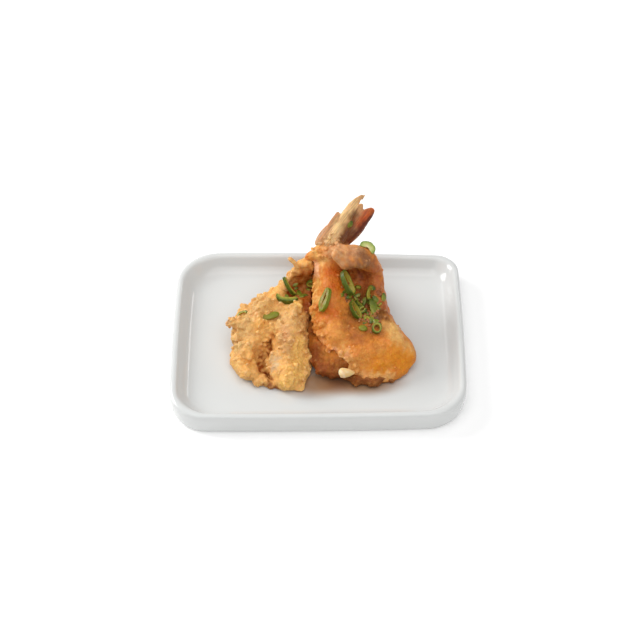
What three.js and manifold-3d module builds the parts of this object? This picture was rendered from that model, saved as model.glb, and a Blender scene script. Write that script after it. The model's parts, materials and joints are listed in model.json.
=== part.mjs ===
// A small plate of garlic shrimp: three battered and fried shrimp leaning in a heap on a
// rectangular rimmed plate, with the tail fan of one standing up behind them, a bit of
// garlic, and cut spring onion scattered over the crust.
// Millimetres, +Z up. The origin is on the table, under the middle of the plate.

import * as THREE from "three";
import { ImprovedNoise } from "three/addons/math/ImprovedNoise.js";
import { mergeVertices } from "three/addons/utils/BufferGeometryUtils.js";
import Module from "manifold-3d";

// Plate: its corners are unevenly rounded, and its long sides not quite parallel
const PLATE_LENGTH = 150;
const PLATE_WIDTH = 118;
const PLATE_HEIGHT = 13;
const CORNERS = [
  { x: 75.6, y: 57.6, radius: 12 },
  { x: -75.8, y: 59.2, radius: 22 },
  { x: -75.8, y: -60.4, radius: 18 },
  { x: 75.4, y: -58.7, radius: 20 },
];
const SIDE_BOW = 1;
const CORNER_CLOSING = 0.4;
const LIP = 2.2;
const LIP_STEPS = 5;
const FLOOR_TOP = 5;
const WALL_RUN = 9;
const BASE_INSET = 1.2;
const FOOT_WIDTH = 7;
const FOOT_RECESS = 1.2;
const CORNER_STEPS = 7;
const SIDE_STEPS = 3;

// Food
const GAP = 0.34;
const WELD = 0.1;
const FOOD_FLOOR = FLOOR_TOP + GAP;
const FACET = 3.4;
const FINE_FACET = 2.7;
const COARSE_FACET = 6;
const END_POWER = 2.8;
const CRAG_SIZE = 8;
const CRAG_HEIGHT = 2.1;
const GRAIN_SIZE = 3.4;
const GRAIN_HEIGHT = 0.7;
const LUMP_SINK = 0.45;
const SWELL_SIZE = 17;
const SWELL_HEIGHT = 1.6;
const LEAN = THREE.MathUtils.degToRad(30);
const LEAF_DETAIL = 9;
const LEAF_EDGE = 0.85;
const LEAF_CROWN = 0.75;

const wasm = await Module();
wasm.setup();
const noise = new ImprovedNoise();
const random = () => THREE.MathUtils.seededRandom();

const group = new THREE.Group();

function bare(geometry) {
  geometry.deleteAttribute("normal");
  geometry.deleteAttribute("uv");
  return mergeVertices(geometry, 1e-4);
}

function toSolid(geometry) {
  const closed = bare(geometry);
  const mesh = new wasm.Mesh({
    numProp: 3,
    vertProperties: new Float32Array(closed.attributes.position.array),
    triVerts: new Uint32Array(closed.index.array),
  });
  return new wasm.Manifold(mesh);
}

// Corners that a cut leaves closer together than WELD become one, and the faces that this
// flattens go: those with a corner twice, and pairs that then lie back to back
function welded(geometry) {
  const merged = mergeVertices(geometry, WELD);
  const faces = new Map();
  for (let i = 0; i < merged.index.count; i += 3) {
    const corners = [0, 1, 2].map((n) => merged.index.getX(i + n));
    if (new Set(corners).size === 3) {
      const key = [...corners].sort().join();
      if (faces.has(key)) faces.delete(key);
      else faces.set(key, corners);
    }
  }
  merged.setIndex([...faces.values()].flat());
  return merged;
}

function toGeometry(body) {
  const mesh = body.getMesh();
  const geometry = new THREE.BufferGeometry();
  geometry.setAttribute("position", new THREE.BufferAttribute(mesh.vertProperties, 3));
  geometry.setIndex(new THREE.BufferAttribute(mesh.triVerts, 1));
  return welded(geometry);
}

function join(bodies) {
  return bodies.reduce((whole, body) => whole.add(body));
}

function largestPiece(body) {
  const pieces = body.decompose();
  return pieces.reduce((best, piece) => (piece.volume() > best.volume() ? piece : best));
}

function place(name, geometry, look) {
  geometry.computeVertexNormals();
  const mesh = new THREE.Mesh(geometry, new THREE.MeshStandardMaterial(look));
  mesh.name = name;
  group.add(mesh);
  return mesh;
}

// Plate: one profile, carried round the four corners and the slightly bowed sides
function outlinePoint(column, inset) {
  const perCorner = CORNER_STEPS + SIDE_STEPS;
  const corner = Math.floor(column / perCorner) % 4;
  const step = column % perCorner;
  const halfLength = PLATE_LENGTH / 2;
  const halfWidth = PLATE_WIDTH / 2;
  const arcPoint = (which, turn) => {
    const { x, y, radius } = CORNERS[which % 4];
    const inner = radius - CORNER_CLOSING * inset;
    const angle = (which + turn) * Math.PI / 2;
    return new THREE.Vector2(
      x - Math.sign(x) * (inset + inner) + inner * Math.cos(angle),
      y - Math.sign(y) * (inset + inner) + inner * Math.sin(angle),
    );
  };
  const point = step <= CORNER_STEPS
    ? arcPoint(corner, step / CORNER_STEPS)
    : arcPoint(corner, 1).lerp(arcPoint(corner + 1, 0), (step - CORNER_STEPS) / SIDE_STEPS);
  const along = point.x / halfLength;
  const across = point.y / halfWidth;
  point.x *= 1 + SIDE_BOW / halfLength * (1 - across * across);
  point.y *= 1 + SIDE_BOW / halfWidth * (1 - along * along);
  return point;
}

function plateGeometry() {
  // Each row of the profile is [inset from the outer edge, height], from under the middle
  // of the plate outwards, up the outer wall, over the lip and down to the food
  const footInside = BASE_INSET + FOOT_WIDTH;
  const profile = [
    [null, FOOT_RECESS],
    [footInside + 1.2, FOOT_RECESS],
    [footInside - 0.4, 0],
    [BASE_INSET + 1.2, 0],
    [BASE_INSET, 0.8],
    [BASE_INSET * 0.45, 5],
  ];
  for (let step = 0; step < LIP_STEPS; step += 1) {
    const angle = Math.PI * step / LIP_STEPS;
    profile.push([LIP * (1 - Math.cos(angle)), PLATE_HEIGHT - LIP * (1 - Math.sin(angle))]);
  }
  profile.push(
    [WALL_RUN - 3.4, 9.6],
    [WALL_RUN - 1.8, 7.4],
    [WALL_RUN, 6],
    [WALL_RUN + 2.5, 5.25],
    [WALL_RUN + 6, FLOOR_TOP],
    [null, FLOOR_TOP],
  );
  const columns = 4 * (CORNER_STEPS + SIDE_STEPS);
  const reaches = profile.map(([inset]) => (inset === null ? 0 : PLATE_LENGTH - inset));
  const line = profile.map(([, height], row) => new THREE.Vector2(reaches[row], height));
  const geometry = new THREE.LatheGeometry(line, columns);
  const position = geometry.attributes.position;
  for (let i = 0; i < position.count; i += 1) {
    const [inset, height] = profile[i % profile.length];
    const column = Math.floor(i / profile.length) % columns;
    const edge = inset === null ? new THREE.Vector2() : outlinePoint(column, inset);
    position.setXYZ(i, edge.x, edge.y, height);
  }
  return welded(bare(geometry));
}

// Crust: slow swellings, rounded crags with creases between them, and a grain on top
function crag(point, seed) {
  const swell = noise.noise(point.x / SWELL_SIZE, point.y / SWELL_SIZE, point.z / SWELL_SIZE + seed);
  const coarse = noise.noise(point.x / CRAG_SIZE + seed, point.y / CRAG_SIZE, point.z / CRAG_SIZE);
  const fine = noise.noise(point.x / GRAIN_SIZE, point.y / GRAIN_SIZE + seed, point.z / GRAIN_SIZE);
  return SWELL_HEIGHT * swell + CRAG_HEIGHT * (2 * Math.abs(coarse) - 0.5) + GRAIN_HEIGHT * fine;
}

function roughen(geometry, rough, grow, seed) {
  geometry.computeVertexNormals();
  const { position, normal } = geometry.attributes;
  for (let i = 0; i < position.count; i += 1) {
    const vertex = new THREE.Vector3().fromBufferAttribute(position, i);
    const outward = new THREE.Vector3().fromBufferAttribute(normal, i);
    vertex.addScaledVector(outward, rough * crag(vertex, seed) + grow);
    position.setXYZ(i, vertex.x, vertex.y, vertex.z);
  }
  return geometry;
}

// A rounded limb through stations of [x, y, z, half width, half depth]. Its flat side
// faces `facing`; `rough` scales the crags and `grow` swells it to cut its neighbours
function limb(stations, { facing = [0, -0.5, 0.87], rough = 1, grow = 0, seed = 0, facet = FACET } = {}) {
  const points = stations.map((s) => new THREE.Vector3(s[0], s[1], s[2]));
  const path = new THREE.CatmullRomCurve3(points, false, "centripetal");
  const last = stations.length - 1;
  const sizeAt = (t, which) => {
    const at = Math.min(t * last, last - 1e-6);
    const low = Math.floor(at);
    return THREE.MathUtils.lerp(stations[low][which], stations[low + 1][which], at - low);
  };
  const girth = Math.max(...stations.map((s) => s[3] + s[4]));
  const columns = Math.max(8, Math.round(Math.PI * girth / facet));
  const rows = Math.max(6, Math.round((path.getLength() + girth * 0.5) / facet));
  const geometry = bare(new THREE.SphereGeometry(1, columns, rows));
  const position = geometry.attributes.position;
  const normal = new THREE.Vector3(...facing).normalize();
  for (let i = 0; i < position.count; i += 1) {
    const lean = Math.acos(THREE.MathUtils.clamp(position.getY(i), -1, 1)) / Math.PI;
    const t = THREE.MathUtils.lerp(lean, (1 - Math.cos(Math.PI * lean)) / 2, 0.5);
    const ring = Math.hypot(position.getX(i), position.getZ(i));
    const round = Math.pow(Math.max(0, 1 - Math.pow(Math.abs(2 * t - 1), END_POWER)), 1 / END_POWER);
    const tangent = path.getTangent(t);
    const side = new THREE.Vector3().crossVectors(normal, tangent).normalize();
    const out = new THREE.Vector3().crossVectors(tangent, side);
    const spread = ring > 1e-6 ? round / ring : 0;
    const vertex = path.getPoint(t);
    vertex.addScaledVector(side, position.getX(i) * spread * sizeAt(t, 3));
    vertex.addScaledVector(out, position.getZ(i) * spread * sizeAt(t, 4));
    position.setXYZ(i, vertex.x, vertex.y, vertex.z);
  }
  return roughen(geometry, rough, grow, seed);
}

// Lumps of batter on the limbs' surfaces, sunk by about half
function lumps(limbs, count, smallest, largest, grow) {
  const spots = limbs.flatMap((surface) => {
    const { position, normal } = surface.attributes;
    return Array.from({ length: position.count }, (_, i) => ({
      centre: new THREE.Vector3().fromBufferAttribute(position, i),
      outward: new THREE.Vector3().fromBufferAttribute(normal, i),
    }));
  });
  const stuck = [];
  for (let n = 0; n < count; n += 1) {
    const { centre, outward } = spots[Math.floor(random() * spots.length)];
    const size = THREE.MathUtils.lerp(smallest, largest, random());
    const squash = [0.8 + 0.5 * random(), 0.8 + 0.5 * random(), 0.7 + 0.4 * random()];
    const turn = new THREE.Euler(random() * 3, random() * 3, random() * 3);
    const lump = new THREE.IcosahedronGeometry(size, 0);
    lump.scale(...squash.map((s) => s + grow / size));
    lump.applyMatrix4(new THREE.Matrix4().makeRotationFromEuler(turn));
    const middle = centre.clone().addScaledVector(outward, -LUMP_SINK * size);
    lump.translate(middle.x, middle.y, middle.z);
    stuck.push(toSolid(lump));
  }
  return stuck;
}

// Everything stands on the plate's floor
function aboveFloor(body) {
  const slab = new THREE.BoxGeometry(2 * PLATE_LENGTH, 2 * PLATE_LENGTH, PLATE_LENGTH);
  slab.translate(0, 0, FOOD_FLOOR - PLATE_LENGTH / 2);
  return body.subtract(toSolid(slab));
}

// A split shrimp spread open like a leaf and leaning back by LEAN. In the leaf's own plane
// x runs to the right and y up the slope, and heights stand square to the plane
const LEAF_FRAME = new THREE.Matrix4().makeRotationX(LEAN);

function outlineReach(centre, outline) {
  const curve = new THREE.SplineCurve([...outline, outline[0]].map(([x, y]) => new THREE.Vector2(x, y)));
  const rays = curve.getPoints(outline.length * 12).map((point) => {
    const arm = point.sub(new THREE.Vector2(...centre));
    return { angle: arm.angle(), length: arm.length() };
  });
  rays.sort((one, other) => one.angle - other.angle);
  return (angle) => {
    const next = rays.findIndex((ray) => ray.angle > angle);
    const high = rays[Math.max(next, 0)];
    const low = rays[(next < 0 ? rays.length : Math.max(next, 1)) - 1];
    const span = high.angle - low.angle;
    return Math.abs(span) < 1e-9 ? low.length : low.length + (high.length - low.length)
      * THREE.MathUtils.clamp((angle - low.angle) / span, 0, 1);
  };
}

function levelAt(levels, y) {
  const next = levels.findIndex(([at]) => at > y);
  if (next < 1) return next === 0 ? levels[0][1] : levels[levels.length - 1][1];
  const [low, lowLevel] = levels[next - 1];
  const [high, highLevel] = levels[next];
  return THREE.MathUtils.lerp(lowLevel, highLevel, THREE.MathUtils.smoothstep(y, low, high));
}

// Each ridge is [x, y, x, y, radius, height] along a short line; a valley has less than 0
function reliefAt(ridges, x, y) {
  return ridges.reduce((sum, [x0, y0, x1, y1, radius, height]) => {
    const line = new THREE.Line3(new THREE.Vector3(x0, y0, 0), new THREE.Vector3(x1, y1, 0));
    const spot = new THREE.Vector3(x, y, 0);
    const away = line.closestPointToPoint(spot, true, new THREE.Vector3()).distanceTo(spot) / radius;
    return sum + height * Math.exp(-away * away);
  }, 0);
}

function leaf({ centre, outline, levels, ridges, top, bottom }, { rough, grow, seed }) {
  const geometry = bare(new THREE.IcosahedronGeometry(1, LEAF_DETAIL));
  const position = geometry.attributes.position;
  const reach = outlineReach(centre, outline);
  for (let i = 0; i < position.count; i += 1) {
    const start = new THREE.Vector3().fromBufferAttribute(position, i).normalize();
    const flat = new THREE.Vector2(start.x, start.y);
    const out = flat.length() < 1e-6 ? 0 : Math.pow(flat.length(), LEAF_EDGE) * reach(flat.angle());
    flat.setLength(out);
    const x = centre[0] + flat.x;
    const y = centre[1] + flat.y;
    const lift = Math.pow(Math.abs(start.z), LEAF_CROWN);
    const height = start.z > 0 ? lift * (top + reliefAt(ridges, x, y)) : -lift * bottom;
    position.setXYZ(i, x, y, levelAt(levels, y) + height);
  }
  geometry.applyMatrix4(LEAF_FRAME);
  return roughen(geometry, rough, grow, seed);
}

// A shrimp: its leaf or limbs and its lumps in one body, made twice, once swollen by the gap
function shrimp({ leaves = [], limbs = [], rough, seed, count, smallest, largest, facet, facing }) {
  const build = (grow) => {
    THREE.MathUtils.seededRandom(seed);
    const spread = leaves.map((shape) => leaf(shape, { rough, grow, seed }));
    const bars = limbs.map((stations) => limb(stations, { rough, grow, seed, facet, facing }));
    const stuck = lumps(spread.length > 0 ? spread : bars, count, smallest, largest, grow);
    return join([...spread.map(toSolid), ...bars.map(toSolid), ...stuck]);
  };
  const body = build(0);
  return { body: aboveFloor(body), swollen: build(GAP).add(body) };
}

// Left shrimp: split along the back, so that it opens in two lobes below its waist
const LEFT_LEAF = {
  centre: [-22, 2],
  outline: [
    [-1, 49], [-11, 41], [-21, 31], [-34, 22.5], [-43, 14], [-46, 6], [-43.5, -1.5], [-45, -9],
    [-44, -17], [-35, -23], [-27, -25], [-20, -28.5], [-12, -28.5], [-6, -22], [-4, -8],
    [-4, 5], [-5, 14], [-2, 27], [3, 38],
  ],
  levels: [[-29, 21], [-8, 14.5], [12, 11.5], [28, 10], [49, 17]],
  ridges: [
    [-12, 17, -13, 8, 6, 6.5],
    [-14, 2, -16, -20, 8.5, 8],
    [-31, 15, -38, -14, 8.5, 5],
    [-24, 1, -31, -10, 2.8, -5.5],
    [-31, -10, -26, -25, 2.8, -6.5],
    [-36, -19, -31, -22, 4, 3],
    [-28, 24, -4, 44, 5, 3.5],
    [-12, 25, -3, 33, 5, -4],
  ],
  top: 5,
  bottom: 8,
};
const LEFT_SPIKE = [
  [-36, -2, 19, 5, 4],
  [-42, -1.5, 20, 3.5, 3],
  [-48.5, -0.5, 20.5, 1.6, 1.6],
];
const LEFT_STRAND = [
  [-10, 20, 33, 1.8, 1.5],
  [-12.8, 23.5, 37, 1.3, 1.1],
  [-15.5, 26.5, 40, 0.9, 0.8],
];

// Right shrimp: two bands round a sunken middle, a big rounded foot, and the curled end
// that folds over at the top
const RIGHT_LEAF = {
  centre: [19, 13],
  outline: [
    [6, 54], [-1, 46.5], [-3.5, 34], [-3.5, 22], [-2.5, 12], [0, 0], [4, -7], [10, -10.5], [14, -17],
    [26, -23], [37, -23.5], [46, -19], [51, -10], [49.5, -2], [42, 10], [36, 21], [34.5, 30],
    [33, 39], [28, 47], [15, 50],
  ],
  levels: [[-24, 20], [-5, 18.5], [25, 14.5], [49, 19]],
  ridges: [
    [5, 43, 5, 26, 7, 4],
    [5, 18, 9, 2, 8.5, 5],
    [19, 40, 24, 16, 6.5, -4.5],
    [29, 38, 31, 24, 5, 2.5],
    [36, 12, 40, -2, 7, 2.5],
    [22, -10, 37, -10, 9, 4],
    [4, 0, 7, -3, 4, 2],
  ],
  top: 7,
  bottom: 8,
};
const RIGHT_CURL = [
  [6.5, 24, 45, 3, 3],
  [11, 24, 45, 5, 5],
  [17, 23, 45, 6.4, 6.2],
  [23, 22.5, 43.5, 6.6, 6.4],
  [27.5, 21.5, 40, 5.5, 5.5],
  [31, 19.5, 35.5, 4, 4],
];

// Shrimp underneath, which the other two lean on
const UNDER_BODY = [
  [8, -33, 8.5, 8, 5],
  [8, -22, 11, 11.5, 7.5],
  [8, -6, 10.5, 15, 8],
  [9, 12, 12, 15.5, 9.5],
  [11, 28, 15, 14, 13],
  [10, 41, 12, 11, 9],
  [9, 48, 8, 7, 5],
];
const UNDER_CRUST = [
  [12, -28, 7, 5, 3],
  [20, -30.5, 7, 5.5, 3.2],
  [30, -31, 7, 5.5, 3.2],
  [42, -28, 7, 4, 3],
];

const right = shrimp({
  leaves: [RIGHT_LEAF], limbs: [RIGHT_CURL], rough: 0.6, seed: 11, count: 14, smallest: 2.6, largest: 4.5,
});
const left = shrimp({
  leaves: [LEFT_LEAF], limbs: [LEFT_SPIKE, LEFT_STRAND], rough: 1.1, seed: 23, count: 34,
  smallest: 2.4, largest: 4.4,
});
const under = shrimp({
  limbs: [UNDER_BODY, UNDER_CRUST], rough: 1, seed: 37, count: 5, smallest: 2.5, largest: 4,
  facet: COARSE_FACET, facing: [0, 0, 1],
});

// Tail fan: the shell sleeve of the last joint and the flat blades that grow from it
const TAIL_FACING = [0.25, -0.75, 0.6];
const TAIL_SLEEVE = [
  [3, 26, 41, 5, 4.5],
  [6, 30, 45, 6, 4.5],
  [10.5, 35, 50.5, 6, 3.4],
  [16, 41, 56.5, 4, 2],
];
const TAIL_BLADES = [
  [[4, 29.5, 46, 2.5, 1.3], [8, 36, 53.5, 3.6, 1.4], [11.7, 41.5, 59.5, 1.8, 0.9]],
  [[7, 30.5, 46, 3, 1.5], [14, 38, 55, 4, 1.5], [20, 43.5, 61.5, 3, 1.2], [25, 47.5, 66, 1.2, 0.8]],
  [[10, 31, 44.5, 3, 1.5], [16.5, 38, 51.5, 4.2, 1.5], [22, 44, 57, 3.2, 1.2], [25, 46.5, 60, 1.4, 0.8]],
  [[11, 30, 43, 3, 1.5], [19, 37, 49.5, 4.4, 1.5], [26, 42.5, 54.5, 4.2, 1.3], [30.5, 45.5, 58, 2.4, 0.9]],
];

function tail(grow) {
  const pieces = [TAIL_SLEEVE, ...TAIL_BLADES].map((stations, n) => {
    const rough = n === 0 ? 0.3 : 0.12;
    const seed = 5 + n;
    return toSolid(limb(stations, { facing: TAIL_FACING, rough, grow, seed, facet: FINE_FACET }));
  });
  return join(pieces);
}

const leftBody = largestPiece(left.body.subtract(right.swollen));
const underBody = largestPiece(under.body.subtract(right.swollen).subtract(left.swollen));
const tailBody = largestPiece(tail(0).subtract(left.swollen).subtract(right.swollen));
const heap = right.swollen.add(left.swollen).add(under.swollen).add(tail(GAP).add(tail(0)));

// Bit of garlic under the edge of the right shrimp
const GARLIC = [
  [10.2, -29.2, 12.3, 2.3, 2.1],
  [12.8, -29.6, 11.6, 2.9, 2.6],
  [16.6, -29.8, 11.4, 2.2, 1.9],
  [20.4, -29.8, 11.4, 1, 0.9],
];
const garlicBody = largestPiece(toSolid(limb(GARLIC, { rough: 0.15, facet: FINE_FACET })).subtract(heap));

// Cut spring onion. Each piece is a slice of a hollow leaf: an oval ring, part of a ring,
// or a flat sliver. `at` is its place on the heap seen from above, `turn` the angle of its
// long axis up the slope, `tip` how far it stands up on that axis, in degrees, and `sink`
// how far it lies in a hollow
const ONION_WALL = 1.15;
const ONION_SINK = 0.5;
const TOUCH_REACH = 1.6;
const ONIONS = [
  { at: [25.2, 25.5], turn: 120, tip: 42, size: [8.5, 6.5, 2.6], arc: [-40, 230], sink: 1.6 },
  { at: [16.4, 37.3], turn: 60, tip: 0, size: [4, 2.6, 1.2] },
  { at: [-15.4, 18.2], turn: 122, tip: 25, size: [11.5, 3, 1.8], arc: [0, 200] },
  { at: [-16, 11.5], turn: -18, tip: 15, size: [12.5, 7, 2.4], arc: [170, 350] },
  { at: [-3.9, 20.6], turn: 0, tip: 25, size: [4.8, 3.8, 2], arc: [0, 360] },
  { at: [-8.7, 13.9], turn: 20, tip: 0, size: [4.2, 2, 1.2] },
  { at: [-39.5, 3.4], turn: 10, tip: 10, size: [6.2, 3.8, 1.4], arc: [10, 190] },
  { at: [-25.2, 0.6], turn: 15, tip: 8, size: [10, 3.9, 1.4] },
  { at: [3.9, 3.5], turn: 68, tip: -15, size: [13, 5, 2], arc: [0, 360] },
  { at: [14.3, 13], turn: 120, tip: 30, size: [13.5, 6.4, 2.6], arc: [0, 360] },
  { at: [18.4, 2], turn: 118, tip: 15, size: [11, 6, 2.2], arc: [0, 360] },
  { at: [27.9, 11.5], turn: 70, tip: -20, size: [7.6, 5, 2], arc: [-60, 200] },
  { at: [29, 3.7], turn: 105, tip: 20, size: [12, 4.6, 1.6] },
  { at: [33.6, 9.5], turn: 60, tip: 10, size: [5.4, 3.4, 1.4] },
  { at: [23.4, 3.6], turn: 30, tip: 20, size: [5, 3.8, 1.8], arc: [40, 320] },
  { at: [23, -9.3], turn: 0, tip: 0, size: [4.4, 3.6, 1.6] },
  { at: [30.2, -10], turn: 80, tip: 20, size: [6, 5.2, 2.4], arc: [0, 360] },
];

function onionOutline([length, width], arc, grow) {
  const radii = [length / 2 + grow, width / 2 + grow];
  const inner = radii.map((radius) => radius - ONION_WALL - 2 * grow);
  const shape = new THREE.Shape();
  if (!arc) {
    shape.absellipse(0, 0, ...radii, 0, 2 * Math.PI, false, 0);
  } else if (arc[1] - arc[0] === 360) {
    shape.absellipse(0, 0, ...radii, 0, 2 * Math.PI, false, 0);
    const hole = new THREE.Path();
    hole.absellipse(0, 0, ...inner, 0, 2 * Math.PI, true, 0);
    shape.holes.push(hole);
  } else {
    const [start, end] = arc.map(THREE.MathUtils.degToRad);
    shape.absellipse(0, 0, ...radii, start, end, false, 0);
    shape.absellipse(0, 0, ...inner, end, start, true, 0);
    shape.closePath();
  }
  return shape;
}

// Where a piece lies: the surface straight below, and its mean direction round there
const surfaces = [leftBody, right.body, underBody, tailBody].map((body) => {
  const mesh = new THREE.Mesh(toGeometry(body), new THREE.MeshStandardMaterial());
  mesh.updateMatrixWorld();
  return mesh;
});

function restingPlace([x, y]) {
  const caster = new THREE.Raycaster();
  const facing = new THREE.Vector3();
  const heights = [];
  const steps = [[0, 0], [TOUCH_REACH, 0], [-TOUCH_REACH, 0], [0, TOUCH_REACH], [0, -TOUCH_REACH]];
  for (const [dx, dy] of steps) {
    caster.set(new THREE.Vector3(x + dx, y + dy, 200), new THREE.Vector3(0, 0, -1));
    const [hit] = caster.intersectObjects(surfaces, false);
    if (hit) {
      heights.push(hit.point.z);
      facing.add(hit.face.normal);
    }
  }
  const height = heights.reduce((sum, z) => sum + z, 0) / heights.length;
  return { spot: new THREE.Vector3(x, y, height), facing: facing.normalize() };
}

function onion({ at, turn, tip, size, arc, sink = 0 }, grow) {
  const outline = onionOutline(size, arc, grow);
  const geometry = new THREE.ExtrudeGeometry(outline, {
    depth: size[2] + 2 * grow, bevelEnabled: false, curveSegments: 5,
  });
  geometry.translate(0, 0, -size[2] / 2 - grow);
  const { spot, facing } = restingPlace(at);
  const angle = THREE.MathUtils.degToRad(turn);
  const tilt = THREE.MathUtils.degToRad(tip);
  const along = new THREE.Vector3(Math.cos(angle), Math.sin(angle), 0).transformDirection(LEAF_FRAME);
  const side = new THREE.Vector3().crossVectors(facing, along).normalize();
  const axis = new THREE.Vector3().crossVectors(side, facing);
  const frame = new THREE.Matrix4().makeBasis(axis, side, facing);
  geometry.applyMatrix4(new THREE.Matrix4().makeRotationX(tilt));
  geometry.applyMatrix4(frame);
  const lift = (size[2] + Math.abs(Math.sin(tilt)) * size[1]) / 2;
  spot.addScaledVector(facing, lift - ONION_SINK - sink);
  geometry.translate(spot.x, spot.y, spot.z);
  return toSolid(geometry);
}

place("plate", plateGeometry(), { color: 0xf2f1ee, roughness: 0.12, metalness: 0 });
place("shrimp_right", toGeometry(right.body), { color: 0xd07a30, roughness: 0.35, metalness: 0 });
place("shrimp_left", toGeometry(leftBody), { color: 0xdd9a4e, roughness: 0.5, metalness: 0 });
place("shrimp_under", toGeometry(underBody), { color: 0xb8682a, roughness: 0.45, metalness: 0 });
place("tail_fan", toGeometry(tailBody), { color: 0xc88a5a, roughness: 0.4, metalness: 0 });
place("garlic_bit", toGeometry(garlicBody), { color: 0xf4d89c, roughness: 0.4, metalness: 0 });

let taken = heap;
ONIONS.forEach((piece, n) => {
  const body = largestPiece(onion(piece, 0).subtract(taken));
  taken = taken.add(onion(piece, GAP));
  const name = `onion_${String(n + 1).padStart(2, "0")}`;
  place(name, toGeometry(body), { color: 0x6b9a34, roughness: 0.35, metalness: 0 });
});

export default group;
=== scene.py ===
import json
import math
import random

import bpy
import numpy as np
from mathutils import Matrix, Vector
from mathutils.bvhtree import BVHTree

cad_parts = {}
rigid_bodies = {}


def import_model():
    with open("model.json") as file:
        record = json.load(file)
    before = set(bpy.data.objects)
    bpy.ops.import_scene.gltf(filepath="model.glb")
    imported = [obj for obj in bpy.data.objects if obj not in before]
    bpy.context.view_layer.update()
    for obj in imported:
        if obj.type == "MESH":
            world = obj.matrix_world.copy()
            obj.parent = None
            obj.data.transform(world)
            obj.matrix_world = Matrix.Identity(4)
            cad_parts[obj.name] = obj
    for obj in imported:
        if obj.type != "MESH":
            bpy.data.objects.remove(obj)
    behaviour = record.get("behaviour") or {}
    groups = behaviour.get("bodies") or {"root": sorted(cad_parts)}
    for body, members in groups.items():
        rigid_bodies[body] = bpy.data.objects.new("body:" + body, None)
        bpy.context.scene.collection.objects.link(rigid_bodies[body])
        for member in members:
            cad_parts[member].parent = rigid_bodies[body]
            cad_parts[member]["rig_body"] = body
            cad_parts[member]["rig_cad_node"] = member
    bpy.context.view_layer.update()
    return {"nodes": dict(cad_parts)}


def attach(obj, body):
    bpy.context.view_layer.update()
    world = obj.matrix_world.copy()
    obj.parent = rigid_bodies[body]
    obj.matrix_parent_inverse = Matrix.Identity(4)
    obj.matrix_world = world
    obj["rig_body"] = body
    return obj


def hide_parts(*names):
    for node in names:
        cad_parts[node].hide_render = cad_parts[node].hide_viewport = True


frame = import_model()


# The plate is photographed from its front with a long lens from a metre away, looking down
# at 47 degrees, so its sides stay nearly parallel. It sits a little below the middle.
CAMERA_PLACE = (0, -0.6820, 0.7314)
CAMERA_TILT = math.radians(43)

bpy.ops.object.select_all(action="DESELECT")
bpy.ops.object.camera_add(location=CAMERA_PLACE, rotation=(CAMERA_TILT, 0, 0))
camera = bpy.context.object
camera.data.sensor_width = 36
camera.data.lens = 106.4
camera.data.shift_x = 0.0023
camera.data.shift_y = 0.0422
bpy.context.scene.camera = camera
bpy.context.scene.view_settings.view_transform = "Standard"


# The plate stands on a white acrylic table top, faintly lit from beneath, in a bright white
# room. The table is staging and no part of the dish.
TABLE_SIZE = 6
TABLE_TOP = -0.00005


def feed(socket, value):
    """Sets a socket, or links it where the value is another node's output."""
    if isinstance(value, bpy.types.NodeSocket):
        socket.id_data.links.new(value, socket)
    else:
        socket.default_value = value


def set_sockets(node, **values):
    for name, value in values.items():
        feed(node.inputs[name.replace("_", " ")], value)


def new_finish(name):
    """A material, its node tree and its shader."""
    finish = bpy.data.materials.new(name)
    finish.use_nodes = True
    return finish, finish.node_tree, finish.node_tree.nodes["Principled BSDF"]


bpy.ops.mesh.primitive_plane_add(size=TABLE_SIZE, location=(0, 0, TABLE_TOP))
table = bpy.context.object
table.name = "table_top"
acrylic, _, matt = new_finish("table_white")
set_sockets(matt, Base_Color=(0.95, 0.95, 0.95, 1), Roughness=0.7, Specular_IOR_Level=0.2,
            Emission_Color=(1, 1, 1, 1), Emission_Strength=0.12)
table.data.materials.append(acrylic)


# One window light comes low from the left and a little behind, and a larger, softer one fills
# from above. Two small lamps behind the plate put thin glints along its inner walls. The
# white room itself gives the rest.
LIT_SPOT = Vector((0, 0, 0.02))


def soft_light(name, place, size, power):
    """A round lamp of some size and power, aimed at the heap."""
    bpy.ops.object.light_add(type="AREA", location=place)
    light = bpy.context.object
    light.name = name
    light.data.shape = "DISK"
    light.data.size = size
    light.data.energy = power
    light.rotation_euler = (LIT_SPOT - Vector(place)).to_track_quat("-Z", "Y").to_euler()


soft_light("window_light", (-0.82, 0.36, 0.54), size=0.6, power=7)
soft_light("top_fill", (0.08, -0.34, 1.10), size=1.5, power=8.4)
soft_light("right_lamp", (0.51, 0.74, 0.49), size=0.18, power=0.3)
soft_light("left_lamp", (-0.46, 0.74, 0.55), size=0.18, power=0.14)
room = bpy.data.worlds.new("white_room")
bpy.context.scene.world = room
room.use_nodes = True
set_sockets(room.node_tree.nodes["Background"], Color=(1, 1, 1, 1), Strength=0.42)


# The plate is white glazed porcelain, pressed in one piece: a rounded rectangle with a low
# rolled lip, a gently dished floor and a foot ring. The glaze is glassy, with faint waves.
# In front of the heap a warm brown is painted on it as shade: the heap's contact shadow and
# the orange light that the fried crust throws on the glaze.
SAME_POINT = 0.00001
SAME_FACE = 0.7
GLAZE_TONES = (0.65, 0.66, 0.65, 1), (0.68, 0.69, 0.68, 1)
# The warm brown of the painted shade in front of the heap, and the spots it spreads round.
WARM_SHADE_TONE = (0.55, 0.32, 0.18, 1)
WARM_SHADE_SPOTS = [
    dict(middle=(0, -0.030, 0.005), reach=(0.024, 0.014, 0.02)),
    dict(middle=(0.022, -0.030, 0.005), reach=(0.028, 0.012, 0.02)),
]


def take_up(piece):
    bpy.ops.object.select_all(action="DESELECT")
    piece.select_set(True)
    bpy.context.view_layer.objects.active = piece


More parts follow.
